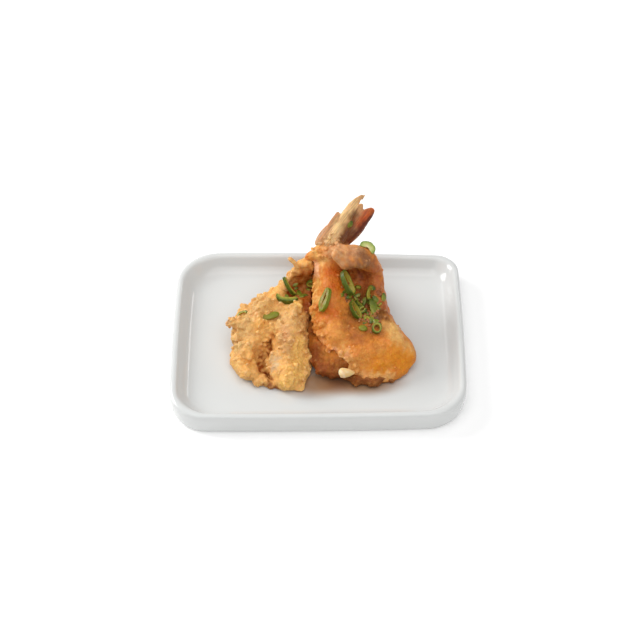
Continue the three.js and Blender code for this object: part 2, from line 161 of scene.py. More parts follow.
def copy_of(node, name):
    """A copy of one of the dish's solids, its loose triangles merged into one skin."""
    take_up(frame["nodes"][node])
    bpy.ops.object.duplicate()
    piece = bpy.context.object
    bpy.ops.object.parent_clear(type="CLEAR")
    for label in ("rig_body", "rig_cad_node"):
        del piece[label]
    piece.name = name
    piece.data.materials.clear()
    bpy.ops.object.mode_set(mode="EDIT")
    bpy.ops.mesh.select_all(action="SELECT")
    bpy.ops.mesh.remove_doubles(threshold=SAME_POINT)
    bpy.ops.object.mode_set(mode="OBJECT")
    return piece


def finish_with(piece, kind, **settings):
    take_up(piece)
    bpy.ops.object.modifier_add(type=kind)
    step = piece.modifiers[-1]
    for name, value in settings.items():
        setattr(step, name, value)
    bpy.ops.object.modifier_apply(modifier=step.name)


def new_node(tree, kind, **settings):
    """A shader node with its own settings, its sockets set or linked."""
    node = tree.nodes.new(kind)
    for name, value in settings.items():
        if hasattr(node, name):
            setattr(node, name, value)
        else:
            set_sockets(node, **{name: value})
    return node


def rescaled(value, old, new, **settings):
    """A number carried from its old span to a new one, and held inside it."""
    node = new_node(value.id_data, "ShaderNodeMapRange", Value=value, **settings)
    set_sockets(node, From_Min=old[0], From_Max=old[1], To_Min=new[0], To_Max=new[1])
    return node.outputs["Result"]


def laid_over(share, under_tone, over_tone, blend="MIX"):
    """A tone laid over another by a share from 0 to 1. Sockets 6 and 7 take the two tones."""
    node = new_node(share.id_data, "ShaderNodeMix", data_type="RGBA", blend_type=blend)
    for place, value in ((0, share), (6, under_tone), (7, over_tone)):
        feed(node.inputs[place], value)
    return node.outputs[2]


plate = copy_of("plate", "porcelain_plate")
bpy.ops.object.mode_set(mode="EDIT")
bpy.ops.mesh.select_all(action="SELECT")
bpy.ops.mesh.tris_convert_to_quads(face_threshold=SAME_FACE, shape_threshold=SAME_FACE)
bpy.ops.object.mode_set(mode="OBJECT")
finish_with(plate, "SUBSURF", levels=2, render_levels=2)
bpy.ops.object.shade_smooth()

glaze, tree, gloss = new_finish("white_glaze")
place = new_node(tree, "ShaderNodeTexCoord").outputs["Object"]
cloud = new_node(tree, "ShaderNodeTexNoise", Scale=22, Detail=3, Vector=place)
colour = laid_over(cloud.outputs["Fac"], *GLAZE_TONES)
# Painted shade: round each spot the glaze darkens to a warm brown, standing for the heap's shadow and the
# orange light it throws back.
for spot in WARM_SHADE_SPOTS:
    spread = new_node(tree, "ShaderNodeMapping", vector_type="TEXTURE", Vector=place,
                      Location=spot["middle"], Scale=spot["reach"])
    ball = new_node(tree, "ShaderNodeTexGradient", gradient_type="SPHERICAL",
                    Vector=spread.outputs["Vector"])
    painted_shade = rescaled(ball.outputs["Fac"], (0, 0.75), (0, 1), interpolation_type="SMOOTHSTEP")
    colour = laid_over(painted_shade, colour, WARM_SHADE_TONE, "MULTIPLY")
wave = new_node(tree, "ShaderNodeTexNoise", Scale=60, Detail=1, Vector=place)
dents = new_node(tree, "ShaderNodeBump", Strength=0.12, Distance=0.0004, Height=wave.outputs["Fac"])
set_sockets(gloss, Base_Color=colour, Normal=dents.outputs["Normal"], Roughness=0.12, IOR=1.5)
plate.data.materials.append(glaze)
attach(plate, "root")
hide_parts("plate")


# The left shrimp is split open, battered and fried until the batter sets in dry golden
# crumbs. Its crust is an even skin over the solid, pressed in along its creases, pushed out
# into crags and grain, and strewn with crumbs that have fried fast.

# Places and sizes are in millimetres from here on, apart from those inside a material. The
# shrimp lean on a slope, and their crust ends just over the plate's floor.
SLOPE = math.radians(30)
CRUST_FOOT = 5.04
LOWEST_CRUMB = 7
CRUMB_SIZE = 1
CRUMB_EDGE = 0.18
CRUMB_SHAPES = (0.6, 1.4)
SEED_STEP = 100


def reskin(piece, cell, rounds):
    """Wraps a piece in one even skin of small faces, and smooths it."""
    finish_with(piece, "REMESH", mode="VOXEL", voxel_size=cell / 1000)
    finish_with(piece, "SMOOTH", factor=0.5, iterations=rounds)


def fine_skin(node, name, cell, rounds):
    piece = copy_of(node, name)
    reskin(piece, cell, rounds)
    return piece


def push_out(piece, kind, size, height, seed=0, **settings):
    """Pushes the skin out and in by a pattern, which lies at another place for each seed."""
    relief = bpy.data.textures.new(f"{piece.name}_{kind.lower()}", kind)
    relief.noise_scale = size / 1000
    for name, value in settings.items():
        setattr(relief, name, value)
    moved = seed * SEED_STEP / 1000
    piece.data.transform(Matrix.Translation((moved, moved, moved)))
    finish_with(piece, "DISPLACE", texture=relief, texture_coords="LOCAL",
                strength=height / 1000, mid_level=0.5)
    piece.data.transform(Matrix.Translation((-moved, -moved, -moved)))


def read_points(piece, kind):
    rows = np.empty(len(piece.data.vertices) * 3)
    piece.data.vertices.foreach_get(kind, rows)
    return rows.reshape(-1, 3)


def points_of(piece):
    return read_points(piece, "co") * 1000


def move_points(piece, points):
    piece.data.vertices.foreach_set("co", points.ravel() / 1000)
    piece.data.update()


def nearest(points, spots):
    """How far each point is from the nearest of some spots."""
    gaps = [np.linalg.norm(points - np.array(spot), axis=1) for spot in spots]
    return np.min(gaps, axis=0)


def shift(piece, move, radius, spots):
    """Moves the skin softly round some spots."""
    points = points_of(piece)
    near = np.exp(-(nearest(points, spots) / radius) ** 2)
    move_points(piece, points + near[:, None] * np.array(move))


def press(piece, depth, radius, spots):
    """Presses soft hollows, square to the slope that the shrimp lean on."""
    shift(piece, (0, depth * math.sin(SLOPE), -depth * math.cos(SLOPE)), radius, spots)


def along_route(corners, step=1.0):
    """Points a step apart, along straight stretches from corner to corner."""
    route = []
    for start, end in zip(corners, corners[1:]):
        start, end = np.array(start, float), np.array(end, float)
        count = max(1, round(np.linalg.norm(end - start) / step))
        route += [tuple(start + (end - start) * n / count) for n in range(count)]
    return route + [corners[-1]]


def join_parts(piece, parts):
    take_up(piece)
    for part in parts:
        part.select_set(True)
    bpy.ops.object.join()


def add_lumps(piece, lumps):
    """Lumps of batter, each a round ball: its middle and its radius."""
    batch = []
    for x, y, z, radius in lumps:
        bpy.ops.mesh.primitive_ico_sphere_add(subdivisions=3, radius=radius / 1000,
                                              location=(x / 1000, y / 1000, z / 1000))
        batch.append(bpy.context.object)
    join_parts(piece, batch)


def first_crumb(seed):
    """An uneven crumb for the others to be copied from."""
    bpy.ops.mesh.primitive_ico_sphere_add(subdivisions=2, radius=CRUMB_SIZE / 2000, location=(0, 0, 0))
    crumb = bpy.context.object
    crumb.name = "crumb"
    bpy.ops.object.mode_set(mode="EDIT")
    bpy.ops.mesh.select_all(action="SELECT")
    bpy.ops.transform.vertex_random(offset=CRUMB_EDGE / 1000, seed=seed)
    bpy.ops.object.mode_set(mode="OBJECT")
    return crumb


def fry_on(piece, draw, count, sizes, spots=None, reach=0, bare=(), sunk=0.3):
    """Crumbs on the crust, between two sizes: all over it, or within reach of some spots. None
    lies within a radius of a bare spot, nor low down, where the crust meets the plate."""
    crumb = first_crumb(seed=len(piece.name))
    points = points_of(piece)
    normals = read_points(piece, "normal")
    allowed = points[:, 2] > LOWEST_CRUMB
    if spots:
        allowed &= nearest(points, spots) < reach
    for radius, bare_spots in bare:
        allowed &= nearest(points, bare_spots) > radius
    batch = []
    for place in draw.choices(list(np.flatnonzero(allowed)), k=count):
        size = draw.uniform(*sizes)
        take_up(crumb)
        bpy.ops.object.duplicate()
        copy = bpy.context.object
        copy.scale = [size * draw.uniform(*CRUMB_SHAPES) for _ in range(3)]
        copy.rotation_euler = [draw.uniform(0, math.tau) for _ in range(3)]
        copy.location = (points[place] + normals[place] * size * (0.5 - sunk)) / 1000
        batch.append(copy)
    take_up(crumb)
    bpy.ops.object.delete()
    join_parts(piece, batch)


def rest_on_plate(piece):
    """Flattens what would reach down into the plate's floor."""
    points = points_of(piece)
    points[:, 2] = np.maximum(points[:, 2], CRUST_FOOT)
    move_points(piece, points)


def keep_main_body(piece):
    """Drops the specks that float free of the crust after it is fused."""
    name = piece.name
    take_up(piece)
    bpy.ops.object.mode_set(mode="EDIT")
    bpy.ops.mesh.select_all(action="SELECT")
    bpy.ops.mesh.separate(type="LOOSE")
    bpy.ops.object.mode_set(mode="OBJECT")
    parts = sorted(bpy.context.selected_objects, key=lambda part: len(part.data.vertices))
    main = parts.pop()
    bpy.ops.object.select_all(action="DESELECT")
    for part in parts:
        part.select_set(True)
    if parts:
        bpy.ops.object.delete()
    main.name = name
    take_up(main)
    return main


def fuse(piece, cell):
    """Makes one closed skin of a crust and all that is fried on it."""
    reskin(piece, cell, 1)
    piece = keep_main_body(piece)
    bpy.ops.object.shade_smooth()
    return piece


def mark(piece, name, values):
    """Keeps a number for each point, for the material to read."""
    field = piece.data.attributes.new(name, "FLOAT", "POINT")
    field.data.foreach_set("value", values.astype(np.float32))


def rise_over_mean(piece, rounds, full):
    """How far each point stands above the mean of the crust around it, from -1 to 1."""
    points = points_of(piece)
    ends = np.empty(len(piece.data.edges) * 2, dtype=np.int64)
    piece.data.edges.foreach_get("vertices", ends)
    one, other = ends[0::2], ends[1::2]
    count = np.bincount(ends, minlength=len(points))[:, None]
    mean = points.copy()
    for _ in range(rounds):
        total = np.zeros_like(mean)
        for axis in range(3):
            total[:, axis] = (np.bincount(one, mean[other, axis], len(points))
                              + np.bincount(other, mean[one, axis], len(points)))
        mean = 0.5 * mean + 0.5 * total / count
    rise = ((points - mean) * read_points(piece, "normal")).sum(axis=1)
    return np.clip(rise / full, -1, 1)


def mark_relief(piece, broad, fine):
    """Marks the creases and crags, and the finer grain: rounds of averaging and full height."""
    mark(piece, "rise", rise_over_mean(piece, *broad))
    mark(piece, "grain", rise_over_mean(piece, *fine))


def linear(red, green, blue):
    """A tone as seen on a screen, 0 to 255, turned into amounts of light."""
    steps = [channel / 255 for channel in (red, green, blue)]
    return np.array([s / 12.92 if s < 0.04045 else ((s + 0.055) / 1.055) ** 2.4 for s in steps])


def paint(piece, ground, patches, ragged=1.0):
    """A ground tone with patches of other tones laid on it, each by its tone, radius and spots.
    Waves about 5 mm long make their edges ragged."""
    points = points_of(piece)
    x, y, z = points.T
    points = points + ragged * np.column_stack([
        np.sin(1.3 * y + 2 * np.sin(0.9 * z)),
        np.sin(1.1 * z + 2 * np.sin(1.2 * x)),
        np.sin(1.5 * x + 2 * np.sin(0.8 * y)),
    ])
    colour = np.tile(linear(*ground), (len(points), 1))
    for tone, radius, spots in patches:
        near = np.exp(-(nearest(points, spots) / radius) ** 3)
        colour += (linear(*tone) - colour) * near[:, None]
    field = piece.data.color_attributes.new("tint", "FLOAT_COLOR", "POINT")
    rows = np.hstack([colour, np.ones((len(points), 1))]).astype(np.float32)
    field.data.foreach_set("color", rows.ravel())


def worked_out(operation, *values):
    """A step of arithmetic on a node's output, with other numbers or outputs."""
    node = new_node(values[0].id_data, "ShaderNodeMath", operation=operation)
    for socket, value in zip(node.inputs, values):
        feed(socket, value)
    return node.outputs["Value"]


def fried_crust(name, crease_shade, peak, roughness, coat, mottle=0.07, crumbly=0.35, depth=0.0003):
    """Fried batter in its painted tint, uneven from crumb to crumb. Its creases, pits and the
    gaps between crumbs are darkened as painted shade, and its peaks take the peak tone, a painted
    highlight where that tone is pale. Its bumps are small beads with grit on them."""
    crust, tree, skin = new_finish(name)
    place = new_node(tree, "ShaderNodeTexCoord").outputs["Object"]
    tint, rise, grain = (new_node(tree, "ShaderNodeAttribute", attribute_name=field)
                         for field in ("tint", "rise", "grain"))

    crumbs = new_node(tree, "ShaderNodeTexVoronoi", Scale=480, Vector=place)
    crumb = new_node(tree, "ShaderNodeSeparateColor", Color=crumbs.outputs["Color"])
    patchy = new_node(tree, "ShaderNodeTexNoise", Scale=230, Detail=4, Roughness=0.6, Vector=place)
    by_crumb = rescaled(crumb.outputs["Red"], (0, 1), (1 - mottle, 1 + mottle))
    by_patch = rescaled(patchy.outputs["Fac"], (0.3, 0.7), (1 - 1.3 * mottle, 1 + 1.3 * mottle))
    uneven = new_node(tree, "ShaderNodeHueSaturation", Color=tint.outputs["Color"],
                      Hue=rescaled(crumb.outputs["Green"], (0, 1), (0.497, 0.505)),
                      Value=worked_out("MULTIPLY", by_crumb, by_patch))

    # Painted shade in the creases, between the crumbs and in the pits, and the peak tone on the rises, a
    # painted highlight where it is pale.
    low = rescaled(rise.outputs["Fac"], (0.05, -0.8), (0, 0.95))
    between = rescaled(crumbs.outputs["Distance"], (0.35, 0.85), (0, crumbly))
    pits = rescaled(grain.outputs["Fac"], (0, -0.9), (0, 0.5))
    high = rescaled(grain.outputs["Fac"], (0.15, 0.9), (0, 0.4))
    sunk = worked_out("MAXIMUM", low, between)
    colour = laid_over(sunk, uneven.outputs["Color"], (*crease_shade, 1), "MULTIPLY")
    colour = laid_over(pits, colour, (*crease_shade, 1), "MULTIPLY")
    colour = laid_over(high, colour, (*peak, 1))

    grains = new_node(tree, "ShaderNodeTexVoronoi", Scale=820, Vector=place)
    grit = new_node(tree, "ShaderNodeTexNoise", Scale=900, Detail=5, Roughness=0.65, Vector=place)
    beads = new_node(tree, "ShaderNodeBump", invert=True, Strength=min(1, 1.8 * crumbly),
                     Distance=0.0005, Height=grains.outputs["Distance"])
    bumps = new_node(tree, "ShaderNodeBump", Strength=0.7, Distance=depth,
                     Height=grit.outputs["Fac"], Normal=beads.outputs["Normal"])
    sheen = rescaled(grit.outputs["Fac"], (0.35, 0.65), (roughness - 0.12, roughness + 0.15))
    set_sockets(skin, Base_Color=colour, Normal=bumps.outputs["Normal"], Roughness=sheen,
                Subsurface_Weight=0.35, Subsurface_Radius=(0.8, 0.5, 0.3), Subsurface_Scale=0.002,
                Specular_IOR_Level=0.2, Coat_Weight=coat, Coat_Roughness=0.25)
    return crust


# All that is strewn is placed by one seeded draw, so that each run gives the same dish.
draw = random.Random(11)
left = fine_skin("shrimp_left", "left_shrimp", 0.45, 8)

# Pressed in are the hollow at its upper right and the split down its front. The batter beside
# them is swollen, and has run down in lumps at the foot of the split.
SPLIT = along_route([(-25.2, -10.7, 14.5), (-24.6, -15.1, 13.5), (-26.2, -16.5, 12), (-29.3, -17, 9.8),
                     (-30.8, -21.3, 9), (-30.2, -24.6, 8.5), (-27.6, -26, 7.4), (-25, -29.5, 7),
                     (-22.5, -33, 6.5)])
press(left, 2.5, 5, [(-8, 16, 26), (-5, 18, 28)])
press(left, 1.6, 2.6, [(-6.5, 8, 22.5), (-5, 6, 21.5)])
press(left, 2.6, 1.6, SPLIT)
press(left, -1.6, 3, [(-26, -8, 16), (-25, -11.5, 15)])
shift(left, (2.4, 0, -0.4), 2.4, [(-49, -2, 21.5)])
press(left, -2.5, 3.5, along_route([(-11, 6, 26), (-12, -2, 25), (-13, -10, 22)]))
press(left, -2, 4, [(-36, -2, 21), (-17, -31, 14), (-38, -17, 14)])
add_lumps(left, [(-29, -28.5, 6.5, 2.8), (-27, -31, 6.5, 2.6), (-24.5, -32.5, 6, 2.4),
                 (-31.5, -30.5, 7, 2.2)])
reskin(left, 0.45, 8)

# Crags, grain and crumbs cover it, with more crumbs along its left edge and few in the
# hollow and the split. A thin strand of batter stands at its top.
BARE = [(4.5, [(-22, -24, 14)]), (9, [(-7, 17, 26)]), (3, SPLIT)]
LEFT_EDGE = along_route([(-33, -26, 6), (-41, -18, 8), (-43, -8, 12), (-41, 4, 18), (-33, 12, 24),
                         (-22, 22, 30)])
STRAND = along_route([(-11, 23, 36.5), (-12.5, 23.8, 39), (-14.8, 24.8, 40.8)], 0.5)
STRAND_RADIUS = 1.2
push_out(left, "CLOUDS", 8, 0.8, seed=1, noise_type="HARD_NOISE", noise_depth=1)
push_out(left, "VORONOI", 4.2, -0.7, seed=2)
push_out(left, "VORONOI", 2.1, -0.5, seed=3)
fry_on(left, draw, 150, (2.6, 5), sunk=0.7, bare=BARE)
fry_on(left, draw, 160, (1.2, 2.4), bare=BARE)
fry_on(left, draw, 24, (2.2, 3.6), sunk=0.6, spots=LEFT_EDGE, reach=3)
add_lumps(left, [(*spot, STRAND_RADIUS) for spot in STRAND])
rest_on_plate(left)
left = fuse(left, 0.4)
mark_relief(left, broad=(40, 1.3), fine=(9, 0.4))

# The dark patches along the split, on the lumps at its foot and in the hollow at its upper right are
# painted shade; the other patches are the crust's own tones.
paint(left, (231, 176, 104), [
    ((221, 176, 113), 6, [(-41, -13, 15), (-33, 5, 25), (-39, -6, 19), (-36, 0, 22), (-30, 11, 24),
                          (-18, -2, 24), (-12, -2, 24)]),
    ((216, 163, 108), 4.5, [(-15, -18, 20), (-16, -14, 22), (-17, -10, 24)]),
    ((246, 194, 108), 5, [(-11, -16, 18), (-10, -23, 14), (-16, -36, 11), (-10, 6, 25), (-12, -30, 13)]),
    ((238, 178, 98), 5, [(-29, -6, 23), (-35, -22, 14), (-25, -12, 14), (-23, 15, 27), (-3, 26, 37),
                         (-7, 25, 38)]),
    ((214, 180, 136), 3.2, [(-23, -22, 14.5), (-22.5, -25, 13)]),
    ((187, 139, 96), 2.2, [(-48, -2, 21)]),
    ((150, 74, 12), 2.1, [(x, y, z - 1) for x, y, z in SPLIT]),
    ((138, 70, 21), 2.6, [(-27, -29, 6), (-26, -32, 6), (-24, -34, 6), (-22, -35.5, 6)]),
    ((156, 75, 8), 5.5, [(-9, 19, 26), (-6, 20, 28), (-7, 13, 24), (-13, 17, 25), (-4, 17, 26),
                         (-5, 9, 22), (-9, 20, 31), (-4, 22, 31)]),
])
left.data.materials.append(fried_crust("dry_crust", crease_shade=(0.75, 0.56, 0.36), peak=(0.88, 0.68, 0.43),
                                       roughness=0.5, coat=0.0))
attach(left, "root")
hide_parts("shrimp_left")


# The right shrimp is dipped in a looser batter, so its crust is smoother, oilier and a
# deeper orange. It was fried curled, with its end folded over at the top, and its batter
# has run up round the foot of the tail.
right = fine_skin("shrimp_right", "right_shrimp", 0.5, 10)

# Its left side is drawn out, and its right side is drawn out at the top and in lower down.
# Pressed in are the hollow of the curl, the crease under the folded end and the one across it.
shift(right, (0.2, 0, -0.3), 5, along_route([(-3, 17, 33), (-4, 8, 28), (-3, 1, 25)]))
shift(right, (-1.1, 0, 0), 3.5, [(-3.4, 5.7, 23.7), (-2.9, 4.4, 19.8), (-2.3, -0.2, 19.3)])
shift(right, (-1.7, -0.4, 0), 4.5, [(2, -8, 20), (5, -14, 17), (8, -18, 15)])
shift(right, (1.3, 0, 0), 4, [(35, 16, 38), (36, 13, 36)])
shift(right, (-2.5, 0, -0.5), 5, [(40, 5, 22), (43, -1, 21), (46, -7, 19.5), (48, -11, 18)])
press(right, 3, 6, [(22, 14, 29), (25, 6, 27)])
press(right, 3, 3.5, [(18, 22, 35), (23, 20, 34)])
press(right, 2, 1.5, along_route([(17, 26, 52), (17, 18, 48), (17, 14, 43)]))

# Batter fills out the front of the folded end, and lies in a collar round the foot of the
# tail that runs down to the left.
FOLD_LUMPS = [(9.1, 19.5, 49, 2.8), (11.5, 19, 46.5, 3.2), (14, 18.2, 45, 4), (18.5, 18, 46, 3.8),
              (22.5, 17.5, 45, 3.2)]
COLLAR_LUMPS = [(8, 25.4, 46, 3), (11, 26, 48, 2.6), (3.5, 25.5, 44.8, 3.4), (0, 26.6, 42.8, 3.4),
                (-3, 27.6, 40.6, 3), (-5.2, 28, 39.6, 2.2), (1.5, 28.5, 46.5, 2.4)]
add_lumps(right, FOLD_LUMPS + COLLAR_LUMPS)
reskin(right, 0.5, 24)

# Low crags and crumbs cover it, with more crumbs along its lower edge, up its left side and
# on the collar.
SMOOTH_SPOTS = [(8, [(22, 12, 30)]), (12, [(8, 26, 46)])]
LOWER_EDGE = along_route([(-1, 2, 26), (3, -8, 22), (6, -16, 18), (12, -22, 15), (17, -27, 12)])
LEFT_SIDE = along_route([(-3, 15, 31), (-4, 8, 26), (-3.5, 2, 23), (-1, -4, 21), (3, -10, 19)])
COLLAR = [(1, 27, 47), (5, 26, 47), (9, 25, 46)]
push_out(right, "CLOUDS", 6, 0.6, seed=5, noise_depth=2)
push_out(right, "VORONOI", 3.2, -0.5, seed=6)
fry_on(right, draw, 70, (3, 4.6), sunk=0.88, bare=SMOOTH_SPOTS)
fry_on(right, draw, 120, (0.8, 1.6), sunk=0.35)
fry_on(right, draw, 44, (2, 3.4), sunk=0.3, spots=LOWER_EDGE, reach=3)
fry_on(right, draw, 36, (1.6, 2.8), sunk=0.4, spots=LEFT_SIDE, reach=2.5)
fry_on(right, draw, 40, (1.2, 2.2), sunk=0.3, spots=COLLAR, reach=5)
rest_on_plate(right)
right = fuse(right, 0.45)
mark_relief(right, broad=(40, 1.3), fine=(8, 0.4))

# Painted shade: the dark patches in the hollow of the curl and under the folded end. The right side's red
# brown is its own tone, darkened further as painted shade, for it faces away from the window light.
paint(right, (213, 129, 49), [
    ((232, 180, 106), 5, [(2, 25, 42), (5, 27, 44), (0, 28, 44), (41, -14, 22), (38, -9, 24),
                          (46, -18, 17), (16, -24, 14)]),
    ((244, 186, 142), 3.2, [(-1.8, 22.5, 36.8), (-1.6, 20.5, 35.6), (2, -12, 20), (8, -18, 17),
                            (14, -21, 18)]),
    ((200, 99, 18), 5, [(8, 16, 39), (10, 11, 35), (6, -4, 29), (14, 21, 37)]),
    ((227, 170, 89), 3, [(-1, 7, 29), (-2, 13, 30), (0, 15, 33), (-3, 6, 25), (-3, 2, 22), (11, -17, 20),
                         (13, -20, 18), (10, 20, 46)]),
    ((219, 145, 66), 7, [(3, -10, 23), (8, -14, 25), (34, -23, 18), (26, -26, 16)]),
    ((222, 137, 30), 7, [(39, -23, 17), (31, -27, 15), (45, -23, 14)]),
    ((178, 98, 50), 6, [(28, 18, 35), (32, 13, 32), (24, 16, 31), (34, 4, 27), (33, 14, 36),
                        (34, 10, 34), (31, 17, 40), (23.5, 18, 32)]),
    ((106, 61, 14), 6, [(23, 9, 26), (27, 2, 26), (20, -2, 25), (29, -4, 25), (31, -2, 26)]),
    ((130, 54, 12), 3, [(16, 21, 35), (20.5, 21, 33.5), (15, 19, 35)]),
    ((175, 103, 38), 5, [(21, -14, 23), (16, -8, 25), (26, -11, 23)]),
    ((208, 156, 108), 4.5, [(12, 18, 46), (11, 20, 50), (9, 20, 49)]),
    ((176, 120, 78), 4, [(17, 16, 44), (17, 17, 46), (18, 19, 48)]),
    ((222, 170, 120), 3.6, [(8, 22, 50), (10, 24, 51), (13, 25, 53), (16, 24.5, 52.5), (6, 24.5, 46.5)]),
    ((190, 138, 96), 3.4, [(19, 23.5, 51), (21.5, 22, 50), (19, 21, 49)]),
    ((146, 97, 60), 4.5, [(21, 16, 44), (24, 17, 45.5), (27, 17, 45), (24, 19.5, 47.5)]),
    ((234, 172, 103), 3, along_route([(21, -29, 10), (29, -31, 10), (37, -30, 10)], 3)),
])
right.data.materials.append(fried_crust("oily_crust", crease_shade=(0.82, 0.62, 0.42), peak=(0.84, 0.53, 0.24),
                                        roughness=0.48, coat=0.08, mottle=0.05))
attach(right, "root")
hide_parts("shrimp_right")


# The shrimp underneath carries the other two. Only its darker side shows, and the crust that has
# spread from it on the plate; their dark tone is painted shade, for they lie under the other two.
under = fine_skin("shrimp_under", "under_shrimp", 0.6, 8)
shift(under, (0, 4.2, 0), 5, [(3, -33, 7), (9, -34, 7), (14, -35, 7), (24, -37, 7), (34, -36, 7)])
shift(under, (-2.2, 0, 0), 5, [(1, -20, 9), (0, -24, 8)])
push_out(under, "VORONOI", 3.6, -1.2, seed=8)
push_out(under, "CLOUDS", 1.6, 0.5, seed=9, noise_depth=2)
fry_on(under, draw, 50, (3, 5), sunk=0.8)
fry_on(under, draw, 90, (1, 2), sunk=0.4)
rest_on_plate(under)
under = fuse(under, 0.5)
mark_relief(under, broad=(30, 1.2), fine=(8, 0.4))

# Painted shade: the dark ground, the darker patches at its front and foot, and the dark peak tone. The
# lighter band along its hidden back is its crust tone.
paint(under, (142, 76, 18), [
    ((188, 114, 40), 6, [(2, -14, 20), (6, -20, 16), (0, -12, 18)]),
    ((146, 76, 28), 6, [(-2, -18, 14), (0, -28, 10), (6, -32, 9)]),
    ((136, 79, 36), 5, [(14, -32, 8), (24, -35, 9), (34, -34, 9)]),
    ((206, 136, 62), 12, along_route([(8, 44, 12), (6, 20, 14), (4, 8, 14)], 4)),
])
under.data.materials.append(fried_crust("soaked_crust", crease_shade=(0.7, 0.5, 0.3), peak=(0.5, 0.25, 0.08),
                                        roughness=0.6, coat=0.0))
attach(under, "root")
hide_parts("shrimp_under")


# The tail fan is the shrimp's own shell: a sleeve and flat blades of stiff, half clear
# shell, fried crisp, pale on the left and red brown on the right. Fine ribs run along the
# blades and fray at their tips.
TAIL_FOOT = Vector((6, 29, 47))
TAIL_TIP = Vector((25, 46, 63))
BLADES_FACE = Vector((0, -0.682, 0.7314))
BLADE_TIPS = [(23.5, 46, 64), (25, 47, 64.5), (22, 45, 62.5), (21, 44, 62.5)]
SIDE_BLADE = dict(middle=(3, 33, 51), half_sizes=(2.6, 1.3, 7.4))
SHARDS = dict(aim=(0.55, 0.5, 0.68), lengths=(2.4, 5.2), radius=1, point=0.2)
FRAY = 0.12
RIB_STRETCH = 0.08


def mark_ribs(piece):
    """Marks each point's place across the blades and along them."""
    along = TAIL_TIP - TAIL_FOOT
    along.normalize()
    across = along.cross(BLADES_FACE).normalized()
    for name, axis in (("across", across), ("along", along)):
        mark(piece, name, points_of(piece) @ np.array(axis))


def fry_shards(piece, draw, tips, aim, lengths, radius, point):
    """Thin shards of shell at the tips of the blades."""
    batch = []
    for tip in tips:
        length = draw.uniform(*lengths)
        bpy.ops.mesh.primitive_cone_add(vertices=8, radius1=radius / 1000, radius2=point / 1000,
                                        depth=length / 1000, location=[c / 1000 for c in tip])
        shard = bpy.context.object
        turned = Vector(aim) + Vector([draw.uniform(-FRAY, FRAY) for _ in range(3)])
        shard.rotation_euler = turned.to_track_quat("Z", "Y").to_euler()
        batch.append(shard)
    join_parts(piece, batch)


tail = fine_skin("tail_fan", "tail_shell", 0.4, 3)
bpy.ops.mesh.primitive_uv_sphere_add(segments=24, ring_count=16, radius=0.001,
                                     location=[c / 1000 for c in SIDE_BLADE["middle"]])
side_blade = bpy.context.object
side_blade.scale = SIDE_BLADE["half_sizes"]
side_blade.rotation_euler = (TAIL_TIP - TAIL_FOOT).to_track_quat("Z", "Y").to_euler()
join_parts(tail, [side_blade])
fry_shards(tail, draw, BLADE_TIPS, **SHARDS)
shift(tail, (-2, 0, 0), 13, [(22, 45, 61)])
shift(tail, (-1.3, 0, 0), 5, [(27, 41, 52.5)])
fry_on(tail, draw, 26, (1.2, 2.6), sunk=0.5, spots=[(4, 29, 48), (6, 29, 49), (8, 29, 50)], reach=4)
tail = fuse(tail, 0.3)
mark_relief(tail, broad=(16, 0.6), fine=(5, 0.3))
mark_ribs(tail)

# The dark brown along the middle blade and the dark spots near its foot, in the hollow between the blades,
# are painted shade. The red blade is darker along its lower edge.
paint(tail, (208, 160, 108), [
    ((240, 198, 138), 3, along_route([(6, 29, 50), (9, 34, 55), (14, 40, 60), (18, 43, 62)])),
    ((198, 140, 92), 2.5, along_route([(1, 30.5, 49), (5, 36, 55.5), (9, 40, 59)])),
    ((134, 83, 35), 3, along_route([(13, 31, 48), (15, 35, 51), (18, 38.5, 54), (19, 40, 57)])),
    ((196, 92, 36), 3.5, along_route([(22, 38.5, 52), (25, 41.5, 55.5), (28, 44, 57.5)])),
    ((122, 66, 26), 2.4, [(12.7, 31.4, 50), (15, 34, 50), (16.4, 34, 48.5), (17.5, 35.4, 50)]),
    ((104, 40, 12), 2, along_route([(15, 33, 45.5), (20, 36, 48.5), (24, 39, 51.5), (29, 42.5, 54.5)])),
    ((233, 185, 132), 2.5, [(7, 25.5, 46), (4, 26, 47)]),
], ragged=0.4)

# The shell starts as a fried crust, and gets ribs drawn out along the blades.
shell = fried_crust("tail_shell", crease_shade=(0.7, 0.5, 0.34), peak=(0.96, 0.78, 0.5),
                    roughness=0.38, coat=0.25, mottle=0.03, crumbly=0)
tree = shell.node_tree
skin = tree.nodes["Principled BSDF"]
plain, bumpy = (skin.inputs[name].links[0].from_socket for name in ("Base Color", "Normal"))
across, along = (new_node(tree, "ShaderNodeAttribute", attribute_name=name).outputs["Fac"]
                 for name in ("across", "along"))
blade = new_node(tree, "ShaderNodeCombineXYZ", X=across, Y=worked_out("MULTIPLY", along, RIB_STRETCH))
ribs = new_node(tree, "ShaderNodeTexNoise", Scale=1.5, Detail=3, Roughness=0.6,
                Vector=blade.outputs["Vector"]).outputs["Fac"]
ribbed = new_node(tree, "ShaderNodeHueSaturation", Color=plain,
                  Value=rescaled(ribs, (0.35, 0.65), (0.72, 1.15)))
ridges = new_node(tree, "ShaderNodeBump", Strength=0.8, Distance=0.0005, Height=ribs, Normal=bumpy)
set_sockets(skin, Base_Color=ribbed.outputs["Color"], Normal=ridges.outputs["Normal"])
tail.data.materials.append(shell)
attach(tail, "root")
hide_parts("tail_fan")


